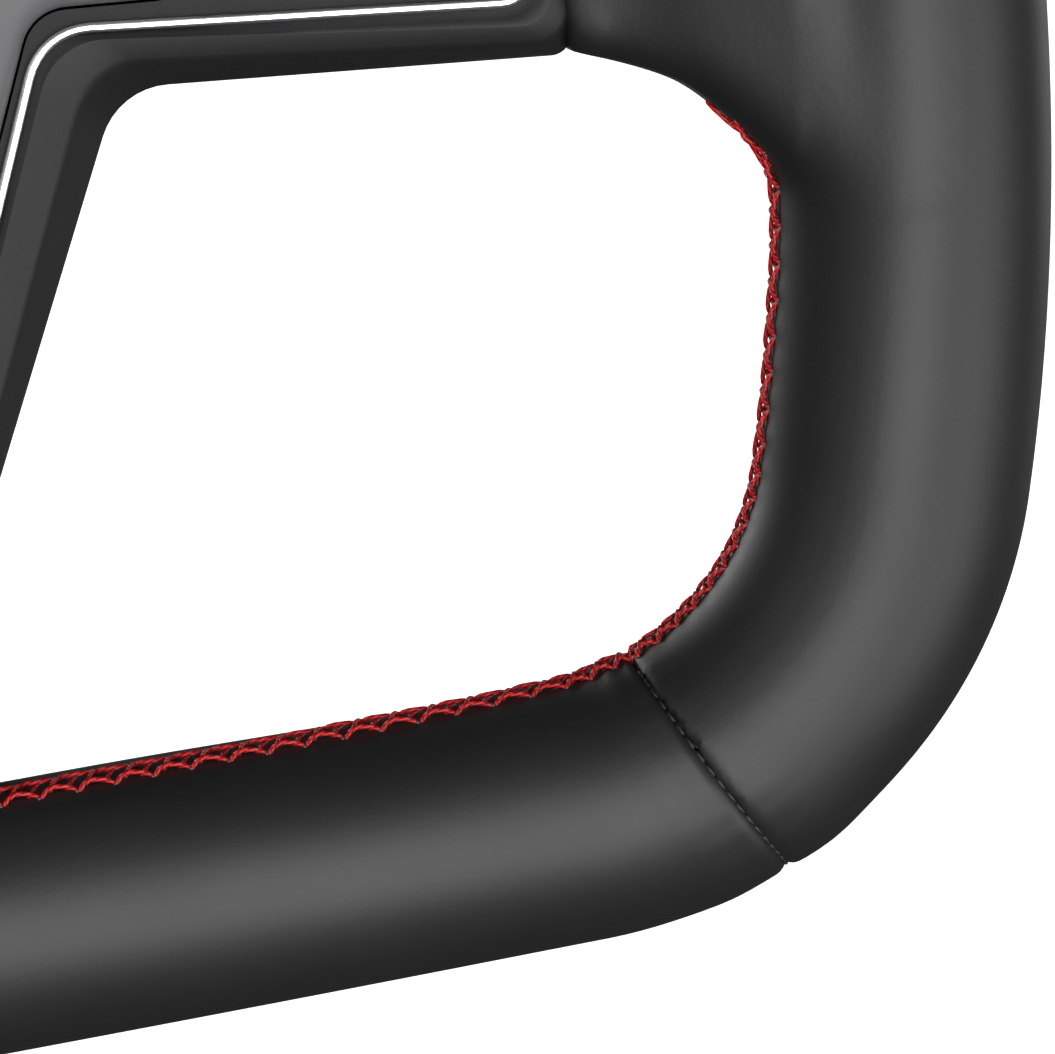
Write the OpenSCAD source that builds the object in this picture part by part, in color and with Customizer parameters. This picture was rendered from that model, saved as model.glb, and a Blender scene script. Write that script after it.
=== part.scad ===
// Quick release steering wheel: a flat-bottomed leather rim on three spokes, with a ball-lock
// hub that lets the whole wheel slide off its column.
//
// Part frame: the steering axis is Y, the driver looks along +Y, +X is the driver's right and
// +Z is up. The origin is the centre of the rear mouth of the steering-shaft bore.
// Most modules draw in the wheel frame instead: x right, y up, z towards the driver, with
// z = 0 in the plane of the rim. "Behind" below means a distance along -z in that frame.

/* [Rim] */
// Half of the rim's centreline width, and the radius of its upper half circle
rim_half_w = 158; // [150:1:166]
// Radius of the flatter side arcs below the three and nine o'clock points
side_r = 309; // [280:1:340]
// Angle that each side arc runs through, in degrees
side_angle = 17.3; // [15:0.1:19]
// Radius of the two bottom corners, on the centreline
corner_r = 47.1; // [42:0.1:52]
// Radius of the leather-covered grip
grip_r = 17; // [16:0.1:18]
// Thickness of the leather
leather_t = 1.7; // [1.2:0.1:2]
// Radius of the steel ring inside the foam
ring_r = 6; // [5:0.1:7]
// Angle of the upper leather seams above the horizontal, in degrees
upper_seam = 40; // [30:1:50]
// Angle of the lower leather seams round the bottom corners, from straight down, in degrees
lower_seam = 20; // [16:1:30]
// Width of the red lacing band on the inner side of the grip
lacing_w = 4.7; // [3:0.1:5.5]
// Further angle by which the lacing leans towards the driver in the middle of the flat bottom
lacing_lean = 20; // [0:1:30]
// Height of the lacing above the leather
lacing_h = 0.8; // [0.5:0.1:1.2]

/* [Spoke covers] */
// Distance from the steering axis to the side ends of the front bezel
bezel_end_x = 113.6; // [112:0.1:113.8]
// Height of the front face of the bezel in front of the rim plane
bezel_front = 5; // [4:0.5:6]
// Depth behind the rim plane where the bezel meets the rear cover
parting = 8; // [7:0.5:8]
// Wall thickness of the plastic covers
wall = 2.5; // [2:0.1:3]
// Width of the chrome strip
chrome_w = 1.3; // [1:0.1:2]
// Height of the chrome strip's front in front of the rim plane
chrome_front = 6; // [5.5:0.1:7]
// Height of the horn pad's crown in front of the rim plane
pad_front = 9; // [8:0.5:11]
// Gap round the horn pad
pad_gap = 0.5; // [0.4:0.1:0.8]

/* [Armature] */
// Thickness of the pressed steel hub plate and arms
plate_t = 4; // [3.5:0.5:4]
// Radius of the hub plate
hub_plate_r = 44; // [43:0.5:45]
// Pitch circle of the six hub screws
hub_pcd = 70; // [68:1:72]
// Diameter of the hub screws
hub_screw_d = 5; // [4.5:0.5:5.5]

/* [Ball lock] */
// Radius of the socket flange that is screwed to the wheel
flange_r = 42; // [41:0.5:42]
// Thickness of the socket flange
flange_t = 8; // [7:0.5:8]
// Outer radius of the socket barrel
barrel_r = 20.3; // [20.2:0.1:20.4]
// Radius of the column spindle
spindle_r = 15.7; // [15.5:0.1:15.8]
// Radius of the bore that the spindle slides into
socket_bore_r = 16; // [15.9:0.1:16.1]
// Number of locking balls
ball_count = 6; // [6:1:6]
// Radius of each locking ball
ball_r = 3; // [2.9:0.05:3]
// Distance of the ball centres from the axis when they lock the spindle
ball_lock_r = 17.5; // [17.4:0.1:17.5]
// Travel of the release collar
collar_travel = 7; // [6.5:0.5:7]
// Radial travel of each ball when the collar is pulled
ball_travel = 1.6; // [1.5:0.05:1.6]
// Outer radius of the release collar
collar_r = 27; // [26:0.5:30]
// Number of splines that carry the steering torque
spline_count = 8; // [6:1:10]
// Radius of the steering shaft, three quarters of an inch across
shaft_r = 9.525; // [9:0.005:10]
// Depth of the steering-shaft bore
shaft_bore_len = 25; // [24:0.5:25.5]

/* [Hidden] */
$fn = 48;
overcut = 1;

// Rim outline: centres of the side and corner arcs, and the height of the flat bottom
side_cx = rim_half_w - side_r;
corner_x = side_cx + (side_r - corner_r) * cos(side_angle);
corner_y = -(side_r - corner_r) * sin(side_angle);
flat_y = corner_y - corner_r;
foam_r = grip_r - leather_t;

// Depths behind the rim plane
plate_front = parting + 0.5;
plate_back = plate_front + plate_t;
flange_back = plate_back + flange_t;
cover_back = flange_back - 0.5;
web_front = 22;
web_back = 26;
collar_front = 29;
spring_shelf = 40;
ramp_start = 45.4;
ball_s = 46;
collar_back = 57;
clip_t = 1.2;
barrel_end = 60;
spindle_nose = 40;
shoulder = 60.3;
spindle_flange_back = 66.3;
hub_flange_back = 72.3;
hub_back = 98;

collar_land_r = barrel_r + 0.3;
ramp_slope = ball_travel / collar_travel;
relief_r = ball_lock_r + ball_travel + ball_r + 0.3;
spring_room_r = 23.4;
groove_r = ball_r + 0.2;
clip_groove_r = 20;
clip_outer_r = 24;
spigot_r = 13.9;
spline_r = 17.7;
spline_w = 4.5;
spline_gap = 0.2;
hub_flange_r = 30;
hub_boss_r = 18;
spindle_screw_pr = 24;
spindle_screw_r = 2.5;
csk_r = 4.6;
csk_depth = 2.6;
grub_r = 4;
grub_s = 85;
bearing_gap = 0.05;

// Horn switch under the pad
horn_spring_pr = 22;
horn_spring_r = 4;
horn_wire_r = 0.45;
pad_underside = 1;
contact_r = 17.2;
contact_front = 1.6;
contact_back = 0.4;
contact_ring_front = -1.2;

// Right-hand corners of the covers' outlines, in the wheel frame, from the top down
bezel_half = [
    [0, 57], [46, 52], [64, 33.5], [bezel_end_x, 31], [bezel_end_x, -34.2],
    [59.45, -28.4], [19.3, -106.8], [0, -106.8]
];
window_half = [
    [0, 48.5], [41, 44.5], [57, 25.5], [110.5, 23.5], [110.5, -26.5],
    [51, -19.3], [16.8, -97], [0, -97]
];
pad_half = [
    [0, 44.5], [38.5, 41], [54, 21], [72, 19.5], [72, -18.5], [50.3, -16.6], [15.3, -93.4],
    [0, -93.4]
];
root_half = [
    [114, 31.5], [121, 34], [127, 37], [132, 43], [136, 51], [137.5, 60], [150, 60],
    [150, -62], [137.5, -62], [136, -53], [132, -45], [127, -39.5], [121, -36.5], [114, -33.4]
];
root_front = 8;
root_back = 14;
cover_screw_places = [
    [98, -21], [-98, -21], [17, -86], [-17, -86], [34, 45], [-34, 45]
];

leather_black = [0.07, 0.07, 0.08];
plastic_black = [0.16, 0.16, 0.17];
thread_red = [0.62, 0.05, 0.06];
steel_grey = [0.55, 0.56, 0.58];

// ---- Frames and shared shapes ----

// Moves from the wheel frame to the part frame
module on_wheel() {
    translate([0, -hub_back, 0]) rotate([90, 0, 0]) children();
}

// A cylinder between two depths behind the rim plane
module behind(front, back, r) {
    translate([0, 0, -back]) cylinder(h = back - front, r = r);
}

// Copies the child round the steering axis
module ring_of(count, radius, start = 0) {
    for (i = [0 : count - 1])
        rotate([0, 0, start + i * 360 / count]) translate([radius, 0, 0]) children();
}

// Sweeps a section along part of a circle in the rim plane
module arc(centre, radius, from, to) {
    translate(centre) rotate([0, 0, from])
        rotate_extrude(angle = to - from, $fn = 96) translate([radius, 0]) children();
}

module side_stretch() arc([side_cx, 0, 0], side_r, -side_angle, 0) children();

module corner_stretch(from, to) {
    arc([corner_x, corner_y, 0], corner_r, from - 90, to - 90) children();
}

module both_sides() {
    children();
    mirror([1, 0, 0]) children();
}

// A full outline from its right-hand half
function full(half) = concat(
    half,
    [for (i = [len(half) - 2 : -1 : 1]) [-half[i][0], half[i][1]]]
);

// An outline with its inner and outer corners rounded, grown by a margin
module rounded(half, inner, outer, margin = 0) {
    offset(delta = margin) offset(r = outer, $fn = 32) offset(delta = -outer)
        offset(r = -inner, $fn = 32) offset(delta = inner) polygon(full(half));
}

module bezel_outline(margin = 0) rounded(bezel_half, 9, 4, margin);
module window_outline(margin = 0) rounded(window_half, 8, 3.5, margin);
module pad_outline(margin = 0) rounded(pad_half, 6, 6, margin);

module slab(front, back) {
    translate([0, 0, -back]) linear_extrude(back - front) children();
}

// Closes a stack of equal rings of points into one solid
module skin(rings, closed) {
    count = len(rings);
    sides = len(rings[0]);
    last_wall = closed ? count - 1 : count - 2;
    walls = [for (i = [0 : last_wall], k = [0 : sides - 1])
        let (j = (i + 1) % count, m = (k + 1) % sides)
        [i * sides + k, i * sides + m, j * sides + m, j * sides + k]];
    ends = closed ? [] : [
        [for (k = [sides - 1 : -1 : 0]) k],
        [for (k = [0 : sides - 1]) (count - 1) * sides + k]
    ];
    polyhedron(points = [for (ring = rings, point = ring) point], faces = concat(walls, ends));
}

// Carries a section of [outward, forward] points along stations of [x, y, outward angle], with
// a fourth number where the section also leans towards the driver
module sweep(stations, section, closed = false) {
    skin([for (s = stations) let (lean = len(s) > 3 ? s[3] : 0) [for (p = section)
        let (out = p[0] * cos(lean) + p[1] * sin(lean))
        [s[0] + out * cos(s[2]), s[1] + out * sin(s[2]), p[1] * cos(lean) - p[0] * sin(lean)]]],
        closed);
}

// A round wire coiled round the z axis from the bottom up
module coil(radius, wire_r, height, turns, sides, steps) {
    rise = (height - 2 * wire_r) / (turns * steps);
    skin([for (i = [0 : turns * steps]) [for (k = [0 : sides - 1])
        let (a = 360 * i / steps, b = 360 * k / sides, r = radius + wire_r * cos(b))
        [r * cos(a), r * sin(a), wire_r * (1 + sin(b)) + rise * i]]], false);
}

// Stations along part of a circle in the rim plane
function arc_stations(cx, cy, r, from, to, count) = [
    for (i = [0 : count]) let (a = from + (to - from) * i / count)
    [cx + r * cos(a), cy + r * sin(a), a]
];
function mirrored(stations) = [
    for (i = [len(stations) - 1 : -1 : 0]) [-stations[i][0], stations[i][1], 180 - stations[i][2]]
];
function without_first(list) = [for (i = [1 : len(list) - 1]) list[i]];
function regular(r, sides) = [for (k = [0 : sides - 1]) [r * cos(360 * k / sides), r * sin(360 * k / sides)]];

// Stations of the right-hand bottom corner and side, of the top, and of the whole loop
function corner_stations() = arc_stations(corner_x, corner_y, corner_r, -90, -side_angle, 14);
function side_stations(to) =
    without_first(arc_stations(side_cx, 0, side_r, -side_angle, to, 6));
function top_stations(from, to) = arc_stations(0, 0, rim_half_w, from, to, round((to - from) / 4));
function loop_stations() = concat(
    corner_stations(), side_stations(0),
    without_first(top_stations(0, 180)),
    without_first(mirrored(concat(corner_stations(), side_stations(0))))
);

// ---- Rim ----

// The three arms and their thick outer ends, with a gap all round when they cut a neighbour
module armature_arms(gap = 0) {
    for (side = [-1, 1]) mirror([side < 0 ? 1 : 0, 0, 0]) {
        translate([0, -15 - gap, -plate_back - gap])
            cube([rim_half_w, 30 + 2 * gap, plate_t + 2 * gap]);
        translate([130 - gap, -12 - gap, -plate_back - gap])
            cube([rim_half_w - 130 + gap, 24 + 2 * gap, plate_back]);
    }
    translate([-11 - gap, flat_y, -plate_back - gap])
        cube([22 + 2 * gap, -flat_y, plate_t + 2 * gap]);
    translate([-11 - gap, flat_y, -plate_back - gap])
        cube([22 + 2 * gap, 16 + gap, plate_back]);
}

module armature() on_wheel() color(steel_grey) {
    sweep(loop_stations(), regular(ring_r, 10), true);
    difference() {
        union() {
            armature_arms();
            behind(plate_front, plate_back, hub_plate_r);
        }
        behind(plate_front - overcut, plate_back + overcut, spigot_r + 0.1);
        ring_of(6, hub_pcd / 2)
            behind(plate_front - overcut, plate_back + overcut, hub_screw_d / 2 + 0.25);
    }
}

module rim_foam() on_wheel() color("dimgray") difference() {
    sweep(loop_stations(), regular(foam_r - 0.15, 16), true);
    sweep(loop_stations(), regular(ring_r, 10), true);
    armature_arms();
}

module leather_section() difference() {
    circle(grip_r);
    circle(foam_r);
}

module side_leather() {
    difference() {
        arc([0, 0, 0], rim_half_w, 0, upper_seam) leather_section();
        armature_arms();
    }
    difference() {
        side_stretch() leather_section();
        armature_arms();
    }
    corner_stretch(lower_seam, 90 - side_angle) leather_section();
}

module leather_upper() on_wheel() color(leather_black)
    arc([0, 0, 0], rim_half_w, upper_seam, 180 - upper_seam) leather_section();

module leather_right() on_wheel() color(leather_black) side_leather();

module leather_left() on_wheel() color(leather_black) mirror([1, 0, 0]) side_leather();

// Stations along the flat bottom and round each corner up to an angle
function bottom_stations(angle) =
    let (right = arc_stations(corner_x, corner_y, corner_r, -90, angle - 90, 6))
    concat(mirrored(right), right);

module leather_lower() on_wheel() color(leather_black) difference() {
    sweep(bottom_stations(lower_seam), regular(grip_r, 24));
    sweep(bottom_stations(lower_seam + 1), regular(foam_r + 0.1, 24));
    armature_arms();
}

// The leather-covered swelling where a side spoke enters the grip
module spoke_root() difference() {
    slab(-root_front, root_back) polygon(root_half);
    sweep(concat(corner_stations(), side_stations(0), without_first(top_stations(0, 60))),
        regular(grip_r + 0.3, 24));
    armature_arms();
}

module spoke_root_right() on_wheel() color(leather_black) spoke_root();

module spoke_root_left() on_wheel() color(leather_black) mirror([1, 0, 0]) spoke_root();

// The band lies on the side of the grip that faces the hub
function lacing_section() = [
    [-grip_r - 0.12, -lacing_w / 2], [-grip_r - 0.12, lacing_w / 2],
    [-grip_r - lacing_h, lacing_w / 2 - 0.5], [-grip_r - lacing_h, 0.5 - lacing_w / 2]
];

module lacing_upper() on_wheel() color(thread_red)
    sweep([for (s = top_stations(26, 154)) [s[0], s[1], s[2], 2]], lacing_section());

// How far the lacing leans at a distance along the rim from the middle of the flat bottom
function lean_at(along) =
    let (t = max(0, min(1, along / 170))) 2 + lacing_lean * (1 - t * t * (3 - 2 * t));
function along_corner(a) = corner_x + corner_r * (a + 90) * PI / 180;
function along_side(a) = along_corner(-side_angle) + side_r * (a + side_angle) * PI / 180;

// Right-hand half of the lower lacing, from the middle of the bottom to the spoke root
function lacing_half() = concat(
    [for (share = [0 : 0.125 : 0.875]) [share * corner_x, flat_y, -90, lean_at(share * corner_x)]],
    [for (s = corner_stations()) [s[0], s[1], s[2], lean_at(along_corner(s[2]))]],
    [for (s = side_stations(-12.4)) [s[0], s[1], s[2], lean_at(along_side(s[2]))]]
);
function lacing_mirrored() =
    let (half = lacing_half())
    [for (i = [len(half) - 1 : -1 : 1]) [-half[i][0], half[i][1], 180 - half[i][2], half[i][3]]];

module lacing_lower() on_wheel() color(thread_red)
    sweep(concat(lacing_mirrored(), lacing_half()), lacing_section());

// One ring of sewing thread round the grip, in the plane of a seam, open under the lacing
module seam_ring(lean, open_half) rotate([90, 0, 0]) rotate([0, 0, open_half - 180 - lean])
    rotate_extrude(angle = 360 - 2 * open_half)
        translate([grip_r + 0.37, 0]) circle(0.35, $fn = 16);

module seam_threads() on_wheel() color("black") both_sides() {
    rotate([0, 0, upper_seam]) translate([rim_half_w, 0, 0]) seam_ring(2, 13);
    translate([corner_x, corner_y, 0]) rotate([0, 0, lower_seam - 90])
        translate([corner_r, 0, 0]) seam_ring(lean_at(along_corner(lower_seam - 90)), 15);
}

// ---- Covers ----

module cover_screw_holes(front, back, r) {
    for (place = cover_screw_places)
        translate(place) behind(front, back, r);
}

module front_bezel() on_wheel() color(plastic_black) difference() {
    union() {
        difference() {
            union() {
                slab(-0.5, parting) bezel_outline();
                slab(-bezel_front, -0.5) bezel_outline(-3.5);
            }
            slab(-bezel_front + wall, parting + overcut) bezel_outline(-3.5 - wall);
            slab(0, parting + overcut) bezel_outline(-wall);
        }
        difference() {
            slab(0, 2) bezel_outline(-wall + 0.1);
            slab(-overcut, 2 + overcut) pad_outline(pad_gap);
        }
        cover_screw_holes(1, parting, 4);
    }
    slab(-bezel_front - overcut, 0) window_outline(chrome_w / 2);
    cover_screw_holes(1.2, parting + overcut, 1.6);
}

module chrome_trim() on_wheel() color("silver") slab(-chrome_front, 0) difference() {
    window_outline(chrome_w / 2);
    window_outline(-chrome_w / 2);
}

module gloss_panel() on_wheel() color([0.03, 0.03, 0.03]) slab(-3, 0) difference() {
    window_outline(-chrome_w / 2);
    pad_outline(pad_gap);
}

module rear_cover() on_wheel() color(plastic_black) difference() {
    slab(parting, cover_back) bezel_outline(-0.4);
    slab(parting - overcut, cover_back - wall) bezel_outline(-0.4 - wall);
    behind(parting, cover_back + overcut, flange_r + 1);
    cover_screw_holes(parting, cover_back + overcut, 2.1);
    armature_arms(0.3);
}

module cover_screws() on_wheel() color("black") for (place = cover_screw_places)
    translate(place) {
        behind(cover_back, cover_back + 1.5, 3.6);
        behind(1.5, cover_back, 1.6);
    }

// ---- Hub screws and socket ----

module hub_screws() on_wheel() color("dimgray") ring_of(6, hub_pcd / 2) {
    difference() {
        behind(plate_front - hub_screw_d, plate_front, 0.85 * hub_screw_d);
        translate([0, 0, -plate_front + 2]) cylinder(h = 10, r = 2.3, $fn = 6);
    }
    behind(plate_front, flange_back - 1, hub_screw_d / 2);
}

module qr_socket() on_wheel() color(steel_grey) difference() {
    union() {
        behind(plate_front, plate_back, spigot_r);
        behind(plate_back, flange_back, flange_r);
        behind(flange_back, barrel_end, barrel_r);
    }
    behind(plate_front - overcut, web_front, 11);
    behind(web_back, barrel_end + overcut, socket_bore_r);
    behind(web_front - overcut, web_back + overcut, 3);
    for (i = [0 : spline_count - 1]) rotate([0, 0, i * 360 / spline_count])
        translate([0, -spline_w / 2 - spline_gap, -barrel_end - overcut])
            cube([spline_r + 0.3, spline_w + 2 * spline_gap, 10]);
    ring_of(6, hub_pcd / 2)
        behind(plate_back - overcut, flange_back + overcut, hub_screw_d / 2);
    ring_of(ball_count, 10) translate([0, 0, -ball_s]) rotate([0, 90, 0])
        cylinder(h = 15, r = ball_r + bearing_gap);
    difference() {
        behind(collar_back + 0.2, collar_back + 0.2 + clip_t, barrel_r + overcut);
        behind(collar_back - overcut, barrel_end, clip_groove_r);
    }
}

module circlip() on_wheel() color("dimgray") difference() {
    behind(collar_back + 0.2, collar_back + 0.2 + clip_t, clip_outer_r);
    behind(collar_back - overcut, barrel_end, clip_groove_r);
    translate([0, -3, -barrel_end]) cube([30, 6, 5]);
}

// ---- Horn pad ----

module horn_pad() on_wheel() color([0.45, 0.45, 0.46]) difference() {
    union() {
        slab(-pad_front, -pad_underside - 0.1) pad_outline();
    }
    difference() {
        slab(-pad_front + wall, overcut) pad_outline(-wall);
        ring_of(3, horn_spring_pr, 30) behind(-pad_front, 0, horn_spring_r + 2);
        behind(-pad_front, 0, 8);
    }
    behind(-contact_front, overcut, contact_r + 0.1);
}

module horn_contact_plate() on_wheel() color("gold") difference() {
    behind(-contact_front, -contact_back, contact_r);
    behind(-contact_front - overcut, overcut, 3);
}

module horn_contact_ring() on_wheel() color("gold") difference() {
    behind(-contact_ring_front, plate_front, contact_r);
    behind(-contact_ring_front - overcut, plate_front + overcut, spigot_r + 0.5);
}

module horn_springs() on_wheel() color("silver") ring_of(3, horn_spring_pr, 30)
    translate([0, 0, -plate_front])
        coil(horn_spring_r - horn_wire_r, horn_wire_r, plate_front + pad_underside, 5, 5, 14);

// ---- Release collar and balls ----

module release_collar() on_wheel() color("firebrick") translate([0, 0, -collar_back])
    rotate_extrude() {
        ramp_end = ramp_start + (relief_r - collar_land_r) / ramp_slope;
        polygon([
            [spring_room_r, collar_back - collar_front],
            [spring_room_r, collar_back - spring_shelf],
            [collar_land_r, collar_back - spring_shelf],
            [collar_land_r, collar_back - ramp_start],
            [relief_r, collar_back - ramp_end],
            [relief_r, 0],
            [collar_r - 1.5, 0],
            [collar_r, 1.5],
            [collar_r, 10],
            [collar_r - 2, 12],
            [collar_r - 2, 16],
            [collar_r, 18],
            [collar_r, collar_back - collar_front - 1],
            [collar_r - 1, collar_back - collar_front]
        ]);
    }

module collar_spring() on_wheel() color("silver") translate([0, 0, -spring_shelf + 0.1])
    coil(21.95, 0.6, spring_shelf - flange_back - 0.2, 5, 6, 24);

module lock_ball(index) on_wheel() color("silver")
    rotate([0, 0, (index - 1) * 360 / ball_count])
        translate([ball_lock_r, 0, -ball_s]) sphere(ball_r);

module lock_ball_1() lock_ball(1);
module lock_ball_2() lock_ball(2);
module lock_ball_3() lock_ball(3);
module lock_ball_4() lock_ball(4);
module lock_ball_5() lock_ball(5);
module lock_ball_6() lock_ball(6);

// ---- Column side ----

module spline_spindle() on_wheel() color(steel_grey) difference() {
    union() {
        translate([0, 0, -spindle_nose - 2.7]) cylinder(h = 2.7, r1 = spindle_r, r2 = 13);
        behind(spindle_nose + 2.7, shoulder, spindle_r);
        for (i = [0 : spline_count - 1]) rotate([0, 0, i * 360 / spline_count])
            translate([0, -spline_w / 2, -shoulder])
                cube([spline_r, spline_w, shoulder - 51.2]);
        behind(shoulder, spindle_flange_back, hub_flange_r);
    }
    translate([0, 0, -ball_s]) rotate_extrude() translate([ball_lock_r, 0]) circle(groove_r);
    behind(spindle_nose - overcut, 58, 8);
    ring_of(4, spindle_screw_pr, 45) {
        behind(shoulder - overcut, spindle_flange_back + overcut, spindle_screw_r + 0.2);
        translate([0, 0, -shoulder - csk_depth])
            cylinder(h = csk_depth + 0.01, r1 = spindle_screw_r, r2 = csk_r + 0.1);
    }
}

module spindle_screws() on_wheel() color("dimgray") ring_of(4, spindle_screw_pr, 45)
    difference() {
        union() {
            translate([0, 0, -shoulder - csk_depth])
                cylinder(h = csk_depth, r1 = spindle_screw_r - 0.1, r2 = csk_r);
            behind(shoulder + csk_depth, hub_flange_back - 0.5, spindle_screw_r);
        }
        translate([0, 0, -shoulder - 2]) cylinder(h = 5, r = 1.7, $fn = 6);
    }

module hub_flange() on_wheel() color("gray") difference() {
    behind(spindle_flange_back, hub_flange_back, hub_flange_r);
    ring_of(4, spindle_screw_pr, 45)
        behind(spindle_flange_back - overcut, hub_flange_back + overcut, spindle_screw_r);
}

module column_hub() on_wheel() color("gray") difference() {
    behind(hub_flange_back, hub_back, hub_boss_r);
    behind(hub_back - shaft_bore_len, hub_back + overcut, shaft_r);
    for (a = [0, 90]) rotate([0, 0, a]) translate([shaft_r - 2, 0, -grub_s])
        rotate([0, 90, 0]) cylinder(h = 15, r = grub_r);
}

module grub_screws() on_wheel() color("black") for (a = [0, 90])
    rotate([0, 0, a]) translate([shaft_r + 0.8, 0, -grub_s]) rotate([0, 90, 0]) difference() {
        cylinder(h = hub_boss_r - shaft_r - 1.2, r = grub_r);
        translate([0, 0, 4]) cylinder(h = 5, r = 2.2, $fn = 6);
    }

armature();
rim_foam();
leather_upper();
leather_right();
leather_left();
leather_lower();
spoke_root_right();
spoke_root_left();
lacing_upper();
lacing_lower();
seam_threads();
front_bezel();
chrome_trim();
gloss_panel();
horn_contact_ring();
rear_cover();
cover_screws();
hub_screws();
qr_socket();
circlip();
horn_pad();
horn_contact_plate();
horn_springs();
release_collar();
collar_spring();
lock_ball_1();
lock_ball_2();
lock_ball_3();
lock_ball_4();
lock_ball_5();
lock_ball_6();
spline_spindle();
spindle_screws();
hub_flange();
column_hub();
grub_screws();
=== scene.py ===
import math

import bmesh
import bpy
import numpy as np
from mathutils import Matrix, Vector
from mathutils.bvhtree import BVHTree


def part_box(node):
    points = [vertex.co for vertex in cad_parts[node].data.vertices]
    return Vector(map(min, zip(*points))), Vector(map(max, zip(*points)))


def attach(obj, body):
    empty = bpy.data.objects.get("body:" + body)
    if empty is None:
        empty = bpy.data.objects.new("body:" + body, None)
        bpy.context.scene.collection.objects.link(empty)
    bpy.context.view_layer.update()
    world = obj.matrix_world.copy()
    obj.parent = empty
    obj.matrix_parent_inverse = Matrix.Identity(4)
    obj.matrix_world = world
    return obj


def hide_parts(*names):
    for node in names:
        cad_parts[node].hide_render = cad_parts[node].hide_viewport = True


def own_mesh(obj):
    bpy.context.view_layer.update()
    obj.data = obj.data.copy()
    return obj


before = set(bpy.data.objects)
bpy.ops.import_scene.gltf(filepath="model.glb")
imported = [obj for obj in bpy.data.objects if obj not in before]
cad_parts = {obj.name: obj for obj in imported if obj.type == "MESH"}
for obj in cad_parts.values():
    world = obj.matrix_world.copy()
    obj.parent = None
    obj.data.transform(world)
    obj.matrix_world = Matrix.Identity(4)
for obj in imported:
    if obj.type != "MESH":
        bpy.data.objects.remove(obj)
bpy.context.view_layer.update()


# ---- Steel armature ----
# A ring of round steel bar, three flat arms and a hub plate, welded and powder coated black.
# It is buried in the foam and the covers, and carries every load from the hands to the hub.

def finish_of(name, colour, roughness, metallic=0.0, **sockets):
    """A new material whose even values sit on the shader's own sockets."""
    material = bpy.data.materials.new(name)
    material.use_nodes = True
    shader = material.node_tree.nodes["Principled BSDF"]
    shader.inputs["Base Color"].default_value = (*colour, 1.0)
    shader.inputs["Roughness"].default_value = roughness
    shader.inputs["Metallic"].default_value = metallic
    for socket, value in sockets.items():
        shader.inputs[socket.replace("_", " ")].default_value = value
    return material


def add_node(material, kind, links=(), **settings):
    """A node with its settings made and its inputs linked from (socket, output) pairs or set."""
    node = material.node_tree.nodes.new(kind)
    for key, value in settings.items():
        setattr(node, key, value)
    for socket, source in links:
        if isinstance(source, bpy.types.NodeSocket):
            material.node_tree.links.new(source, node.inputs[socket])
        else:
            node.inputs[socket].default_value = source
    return node


def to_shader(material, socket, output):
    """Links an output to a socket of the material's shader."""
    shader = material.node_tree.nodes["Principled BSDF"]
    material.node_tree.links.new(output, shader.inputs[socket])


def part_coordinates(material):
    """The place of a point in the object's own frame, which moves with the piece."""
    return add_node(material, "ShaderNodeTexCoord").outputs["Object"]


def add_grain(material, height, depth, strength=1.0, below=None):
    """Bumps the surface by a height map, over any bump already made below it."""
    links = [("Height", height), ("Distance", depth), ("Strength", strength)]
    if below is not None:
        links.append(("Normal", below))
    bump = add_node(material, "ShaderNodeBump", links)
    to_shader(material, "Normal", bump.outputs["Normal"])
    return bump.outputs["Normal"]


def vary(material, socket, factor, low, high):
    """Spreads a map between two values or two colours and feeds it to a shader socket."""
    if isinstance(low, tuple):
        mix = add_node(material, "ShaderNodeMix", [("Factor", factor)], data_type="RGBA")
        mix.inputs[6].default_value = (*low, 1.0)
        mix.inputs[7].default_value = (*high, 1.0)
        to_shader(material, socket, mix.outputs[2])
    else:
        spread = add_node(material, "ShaderNodeMapRange",
                          [("Value", factor), ("To Min", low), ("To Max", high)])
        to_shader(material, socket, spread.outputs["Result"])


def noise(material, scale, detail=3.0, rough=0.5, vector=None):
    """A cloudy map from 0 to 1, with scale in cycles a metre."""
    vector = part_coordinates(material) if vector is None else vector
    settings = [("Vector", vector), ("Scale", scale), ("Detail", detail), ("Roughness", rough)]
    return add_node(material, "ShaderNodeTexNoise", settings).outputs["Fac"]


def refinished(node, material):
    """Gives a CAD node that keeps its own shape a new material."""
    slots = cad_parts[node].data.materials
    slots.clear()
    slots.append(material)


powder_coat = finish_of("powder_coat", (0.02, 0.02, 0.021), 0.42, Specular_IOR_Level=0.45)
orange_peel = noise(powder_coat, 900, 2.0)
add_grain(powder_coat, orange_peel, 0.00006, 0.5)
vary(powder_coat, "Roughness", noise(powder_coat, 60), 0.36, 0.5)
refinished("armature", powder_coat)


# ---- Rim path ----
# The rim's centreline, as a jig bends the bar: a flat bottom, two tight corners, two slack
# side arcs and a half circle. Places on it are named by the distance from the bottom middle.

MM = 0.001
foam_low, foam_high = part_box("rim_foam")
RIM_Y = (foam_low.y + foam_high.y) / 2
GRIP_R = 17 * MM
HALF_W = 158 * MM
SIDE_R, SIDE_TURN = 309 * MM, math.radians(17.3)
CORNER_R, CORNER_TURN = 47.1 * MM, math.radians(90 - 17.3)
side_x = HALF_W - SIDE_R
corner_x = side_x + (SIDE_R - CORNER_R) * math.cos(SIDE_TURN)
corner_z = -(SIDE_R - CORNER_R) * math.sin(SIDE_TURN)
corner_start = corner_x
side_start = corner_start + CORNER_R * CORNER_TURN
top_start = side_start + SIDE_R * SIDE_TURN
top_end = top_start + HALF_W * math.pi
rim_length = top_end + top_start
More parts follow.
